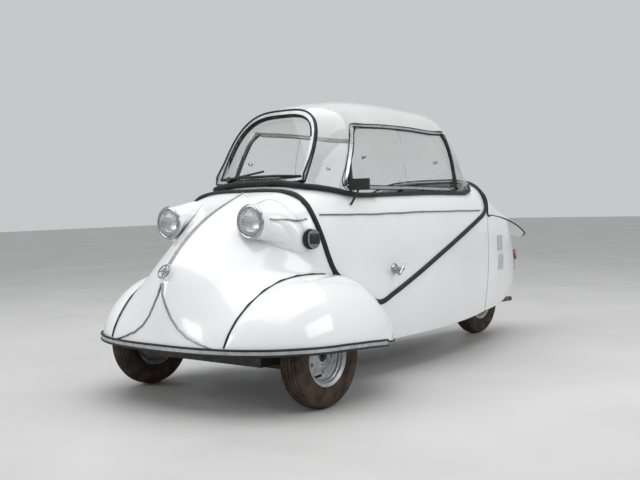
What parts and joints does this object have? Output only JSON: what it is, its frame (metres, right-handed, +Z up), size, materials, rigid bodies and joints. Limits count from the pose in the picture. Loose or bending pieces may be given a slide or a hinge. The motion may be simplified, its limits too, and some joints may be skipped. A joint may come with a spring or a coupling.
{
  "type": "bubble car",
  "caption": "Three-wheeled bubble car with a clear dome, tandem seats, a side-hinged canopy that lifts, handlebar steering and a hinged tail over the rear engine.",
  "frame": {"origin": "centre of the bounding box's floor, on the ground under the car", "axes": "+Z up, -Y forward out of the nose, +X the car's left"},
  "size_m": [1.2214, 2.82, 1.2463],
  "materials": {
    "paint_white": "gloss",
    "paint_dark": "satin",
    "bright_trim": "polished",
    "lamp_glass": "gloss",
    "red_lens": "gloss",
    "plate_blank": "satin",
    "upholstery": "matte",
    "black_plastic": "matte",
    "engine_alloy": "rough",
    "exhaust_steel": "dull",
    "clear_dome": "gloss",
    "window_alloy": "satin",
    "black_rubber": "matte",
    "tyre_rubber": "matte",
    "rim_steel": "silver",
    "grey_panel": "satin"
  },
  "bodies": {
    "body": {"floor_pan": "paint_dark", "side_panels": "paint_white", "inner_panels": "paint_dark", "nose": "paint_white", "fenders": "paint_white", "bumper": "bright_trim", "headlamp_shells": "paint_white", "headlamp_rims": "bright_trim", "headlamp_lenses": "lamp_glass", "side_lamps": "bright_trim", "front_axle": "paint_dark", "seat_front": "upholstery", "seat_rear": "upholstery", "dashboard": "grey_panel", "steering_column": "paint_dark", "pedals": "black_plastic", "engine": "engine_alloy", "exhaust": "exhaust_steel", "rear_arm": "engine_alloy", "canopy_hinges": "bright_trim"},
    "canopy": {"canopy_shell": "paint_white", "dome": "clear_dome", "window_glass": "clear_dome", "windscreen_frame": "window_alloy", "window_frames": "window_alloy", "canopy_seal": "black_rubber", "canopy_fittings": "bright_trim", "mirror": "black_plastic", "wiper": "black_plastic"},
    "tail": {"tail_cover": "paint_white", "tail_deck": "paint_white", "vent_grilles": "window_alloy", "rear_lamps": "red_lens", "number_plate": "plate_blank"},
    "handlebar": {"steering_bar": "black_plastic"},
    "knuckle_left": {"knuckle_left": "paint_dark"},
    "knuckle_right": {"knuckle_right": "paint_dark"},
    "track_rod_left": {"track_rod_left": "rim_steel"},
    "track_rod_right": {"track_rod_right": "rim_steel"},
    "wheel_front_left": {"tyre_left": "tyre_rubber", "rim_left": "rim_steel"},
    "wheel_front_right": {"tyre_right": "tyre_rubber", "rim_right": "rim_steel"},
    "wheel_rear": {"tyre_rear": "tyre_rubber", "rim_rear": "rim_steel"}
  },
  "joints": [
    {"name": "canopy_hinge", "type": "hinge", "parent": "body", "child": "canopy", "pos_m": [-0.38544, -0.322, 0.734], "axis": [0, -1, 0], "range_deg": [0, 70]},
    {"name": "tail_hinge", "type": "hinge", "parent": "body", "child": "tail", "pos_m": [0, 0.632, 0.846], "axis": [1, 0, 0], "range_deg": [0, 50]},
    {"name": "steering", "type": "hinge", "parent": "body", "child": "handlebar", "pos_m": [0, -0.982, 0.15], "axis": [0, 0.5736, 0.8192], "range_deg": [-16.3, 16.3]},
    {"name": "knuckle_left_turn", "type": "hinge", "parent": "body", "child": "knuckle_left", "pos_m": [0.42, -1.022, 0.197], "axis": [0, 0, 1], "range_deg": [-13.95, 13.95]},
    {"name": "knuckle_right_turn", "type": "hinge", "parent": "body", "child": "knuckle_right", "pos_m": [-0.42, -1.022, 0.197], "axis": [0, 0, 1], "range_deg": [-13.95, 13.95]},
    {"name": "track_rod_left_turn", "type": "hinge", "parent": "knuckle_left", "child": "track_rod_left", "pos_m": [0.42, -0.952, 0.14], "axis": [0, 0, 1], "range_deg": [-13.95, 13.95]},
    {"name": "track_rod_right_turn", "type": "hinge", "parent": "knuckle_right", "child": "track_rod_right", "pos_m": [-0.42, -0.952, 0.14], "axis": [0, 0, 1], "range_deg": [-13.95, 13.95]},
    {"name": "wheel_front_left_roll", "type": "hinge", "parent": "knuckle_left", "child": "wheel_front_left", "pos_m": [0.482, -1.022, 0.197], "axis": [1, 0, 0], "continuous": true},
    {"name": "wheel_front_right_roll", "type": "hinge", "parent": "knuckle_right", "child": "wheel_front_right", "pos_m": [-0.482, -1.022, 0.197], "axis": [1, 0, 0], "continuous": true},
    {"name": "wheel_rear_roll", "type": "hinge", "parent": "body", "child": "wheel_rear", "pos_m": [0, 1.008, 0.197], "axis": [1, 0, 0], "continuous": true}
  ],
  "couplings": [
    {"joint": "knuckle_left_turn", "follows": "steering", "ratio": 0.856},
    {"joint": "knuckle_right_turn", "follows": "steering", "ratio": 0.856},
    {"joint": "track_rod_left_turn", "follows": "steering", "ratio": -0.856},
    {"joint": "track_rod_right_turn", "follows": "steering", "ratio": -0.856}
  ]
}
